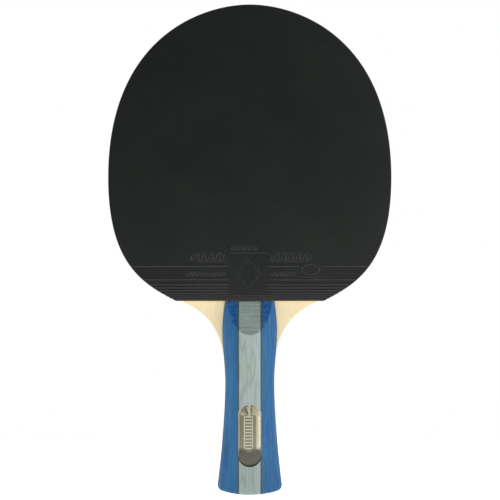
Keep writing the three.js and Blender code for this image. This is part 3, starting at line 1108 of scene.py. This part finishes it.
def badgeMetalFinish(look):
    # satin metal brushed along the handle: light raised bars on a darker bed, plain dark strokes and a pale
    # one above them; paler bands down both sides are painted highlights, the top end is painted lighter as a
    # painted highlight with dark blotches, the dark olive lower end is painted shade round a lighter painted
    # highlight spot, and the rim carries a painted highlight at the top and painted shade at the bottom
    finish = Finish("badgeMetal")
    x, y, z = finish.add("SeparateXYZ", None, {0: finish.place}, outputs=(0, 1, 2))
    brushed = finish.noise((9, 9, 0.12), detail=3.0, roughness=0.6)
    cloud = finish.noise((0.7, 0.7, 0.2), detail=3.0)
    patch = finish.noise((0.55, 0.5, 0.4), look["shift"], detail=1.5)
    fromMiddle, height = z - badgeZ, 0 - y
    ladder = badge["ladder"]
    bed = x.between(ladder["left"] - 0.2, ladder["left"] + 0.2)
    bed = bed * (1 - x.between(ladder["right"] - 0.2, ladder["right"] + 0.2))
    bed = bed * fromMiddle.between(ladder["bottom"] - 0.8, ladder["bottom"])
    bed = bed * (1 - fromMiddle.between(ladder["top"], ladder["top"] + 0.8))
    slant = (x + 1.95 + (fromMiddle - 13.3) * 0.55).narrow(0.15, 0.5)
    slant = slant * fromMiddle.between(11.0, 11.8) * (1 - fromMiddle.between(14.6, 15.3))
    upright = (x - 0.9).narrow(0.06, 0.2) * fromMiddle.between(12.2, 12.8)
    upright = upright * (1 - fromMiddle.between(14.8, 15.4))
    streak = (x + 0.3).narrow(0.08, 0.3) * fromMiddle.between(9.8, 10.4)
    high = fromMiddle.between(9.8, 11.2)
    shares = [
        # painted highlights: paler bands down the right side and the left edge
        (x.between(3.1, 3.7), "warm"),
        (x.between(4.0, 4.7), "pale"),
        (1 - x.between(-5.6, -5.0), "leftHighlight"),
        # painted highlight over the top end, with dark blotches in it
        (high * 0.8, "warm"),
        (high * patch.between(0.5, 0.58) * 0.5, "dark"),
        (streak * 0.8, "pale"),
        (slant * 0.85, "dark"),
        (upright * 0.7, "dark"),
        (bed * 0.5, "bed"),
        (height.between(plateTop + 0.01, plateTop + 0.05), "marks"),
    ]
    tone = finish.mix(brushed.between(0.3, 0.7), look["metal"], look["streak"])
    for share, hue in shares:
        tone = finish.mix(share, tone, look[hue])
    # painted shade: the dark olive lower end, round a lighter spot that is a painted highlight
    aside, under = x + 0.6, fromMiddle + 7.2
    fromHighlightSpot = (aside * aside + under * under) ** 0.5
    low = (1 - fromMiddle.between(-8.6, -5.8)) * fromHighlightSpot.between(0.4, 2.8)
    deep = 1 - fromMiddle.between(-14.5, -9.0)
    olive = finish.mix(cloud.between(0.4, 0.6) * 0.5 + deep * 0.5, look["low"], look["lowWarm"])
    tone = finish.mix(low, tone, olive)
    # the rim: a painted highlight at the top end and painted shade at the bottom
    edge = finish.mix(fromMiddle.between(9.0, 14.0), look["rimSide"], look["rimHighlight"])
    edge = finish.mix(fromMiddle.between(-14.0, -8.0), look["rimShade"], edge)
    tone = finish.mix(height.between(plateTop + 0.22, plateTop + 0.3), tone, edge)
    others = {"Metallic": 0.25, "Normal": finish.bump(brushed, 0.0015)}
    return finish.surface(tone, look["roughness"] + brushed * 0.12, 0.3, others)


badgeMetalLook = {
    "shift": (3.0, 1.0, 7.0),
    "metal": (150, 147, 124),
    "streak": (130, 125, 102),
    # painted highlights down the sides and over the top end; the pale colour also fills the pale stroke
    "warm": (212, 208, 186),
    "pale": (240, 235, 224),
    "leftHighlight": (208, 203, 193),
    "bed": (152, 149, 128),
    "dark": (84, 80, 60),
    "marks": (234, 232, 216),
    # painted shade of the lower end
    "low": (34, 33, 8),
    "lowWarm": (76, 74, 38),
    # the rim's painted highlight at the top, its own colour at the sides and its painted shade at the bottom
    "rimHighlight": (228, 236, 240),
    "rimSide": (170, 164, 152),
    "rimShade": (70, 70, 62),
    "roughness": 0.34,
}


def clearFinish(look):
    # clear resin: what it mirrors grows towards grazing angles, and the rest passes straight through
    finish = Finish("badgeClear")
    fresnel = finish.add("Fresnel", None, {"IOR": look["bend"]})
    scratch = finish.noise((2.0, 2.0, 0.3))
    inputs = {
        "Base Color": look["tint"],
        "Metallic": 1.0,
        "Roughness": scratch * look["scuff"] + look["roughness"],
        "Normal": finish.bump(scratch, look["relief"]),
    }
    mirror = finish.add("BsdfPrincipled", None, inputs)
    clear = finish.add("BsdfTransparent", None, {"Color": look["tint"]})
    both = finish.add("MixShader", None, {0: fresnel * look["gain"], 1: clear, 2: mirror})
    return finish.ended(both)


clearLook = {
    "bend": 1.5,
    "gain": 0.9,
    "tint": colour(253, 253, 250),
    "roughness": 0.05,
    "scuff": 0.06,
    "relief": 0.0002,
}

print("badge")
badgeMetal = badgeMetalFinish(badgeMetalLook)
badgeClear = clearFinish(clearLook)
plateParts = joined(badgePlateShape(), badgeMarks())
makePiece("nameplate", turnedTo(plateParts, -1), badgeMetal, "badge_plate")
makePiece("clear_dome", turnedTo(badgeLensShape(), -1), badgeClear, "badge_lens")


studio = {
    "floorRadius": 0.7,
    "floorGlow": 0.77,
    "background": 1.0,
    "fill": 0.13,
    "floorSides": 96,
    "aim": (0, 0, 0.08),
}

# place in metres, size across and up in metres, power in watts, and whether shiny surfaces mirror it
lamps = {
    "topFill": ((0.0, 0.0, 1.6), (0.9, 0.9), 4.0, False),
    "frontFill": ((0.1, -1.6, 0.3), (0.9, 0.9), 6.4, False),
    "backFill": ((-0.1, 1.6, 0.3), (0.9, 0.9), 7.4, False),
    "rightBox": ((0.84, -0.55, 0.08), (0.26, 0.5), 2.4, True),
    "leftBox": ((-0.86, -0.52, 0.08), (0.10, 0.5), 0.8, True),
    "rightCard": ((0.30, -0.90, 0.15), (0.15, 0.5), 0.4, True),
    "lowCard": ((0.06, -0.50, -0.02), (0.6, 0.1), 0.09, True),
    "overhead": ((-0.10, -0.16, 0.95), (0.5, 0.12), 1.2, True),
    "backRight": ((0.95, 0.36, 0.25), (0.4, 0.7), 2.0, True),
    "backLeft": ((-0.95, 0.36, 0.25), (0.4, 0.7), 2.0, True),
}


def makeFloor():
    # a pale, faintly glowing disc at the height of the butt
    finish = Finish("paleFloor")
    speck = finish.noise((0.02, 0.02, 0.02), detail=3.0)
    tone = finish.mix(speck, (250, 250, 250), (244, 244, 244))
    glow = {"Emission Color": (1, 1, 1, 1), "Emission Strength": studio["floorGlow"]}
    material = finish.surface(tone, 0.9, 0.1, glow)
    sides, radius = studio["floorSides"], studio["floorRadius"]
    turn = np.arange(sides) * 2 * math.pi / sides
    rim = np.stack([radius * np.cos(turn), radius * np.sin(turn), np.full(sides, buttZ * mm)], axis=1)
    mesh = bpy.data.meshes.new("floor")
    mesh.from_pydata(rim.tolist(), [], [list(range(sides))])
    mesh.materials.append(material)
    floor = linked("floor", mesh)


def makeWorld():
    # white to the camera, a dimmer grey to everything else
    world = bpy.data.worlds.new("studio")
    bpy.context.scene.world = world
    world.use_nodes = True
    tree = NodeTree(world.node_tree)
    toCamera = tree.add("LightPath", outputs="Is Camera Ray")
    white = (1, 1, 1, 1)
    seen = tree.add("Background", None, {"Color": white, "Strength": studio["background"]})
    lit = tree.add("Background", None, {"Color": white, "Strength": studio["fill"]})
    both = tree.add("MixShader", None, {0: toCamera, 1: lit, 2: seen})
    tree.add("OutputWorld", None, {"Surface": both}, outputs=None)


def aimed(thing, place, target):
    # turns a lamp so that its -Z looks at the target
    thing.location = place
    thing.rotation_euler = (Vector(target) - Vector(place)).to_track_quat("-Z", "Y").to_euler()


def makeLights():
    # each lamp is a rectangle aimed at the paddle, and is never seen itself
    for name, (place, size, power, mirrored) in lamps.items():
        light = bpy.data.lights.new(name, "AREA")
        light.shape = "RECTANGLE"
        light.size, light.size_y = size
        light.energy = power
        box = linked(name, light)
        box.visible_camera = False
        box.visible_glossy = mirrored
        aimed(box, place, studio["aim"])


view = {"distance": 2400.0, "span": 264.75, "sensor": 36.0, "aboveEdge": 27.0, "aside": 0.13}


def makeCamera():
    # straight on through a long lens; the span is what the frame covers in the plane of the front rubber
    lens = bpy.data.cameras.new("camera")
    lens.sensor_width = view["sensor"]
    lens.lens = view["sensor"] * (view["distance"] - rubberY) / view["span"]
    lens.clip_start, lens.clip_end = 0.05, 50
    camera = linked("camera", lens)
    place = np.array([view["aside"], -view["distance"], edgeZ + view["aboveEdge"]]) * mm
    camera.location = place
    camera.rotation_euler = (math.pi / 2, 0, 0)
    bpy.context.scene.camera = camera


makeFloor()
makeWorld()
makeLights()
makeCamera()
bpy.context.scene.view_settings.view_transform = "Standard"
print("studio set")
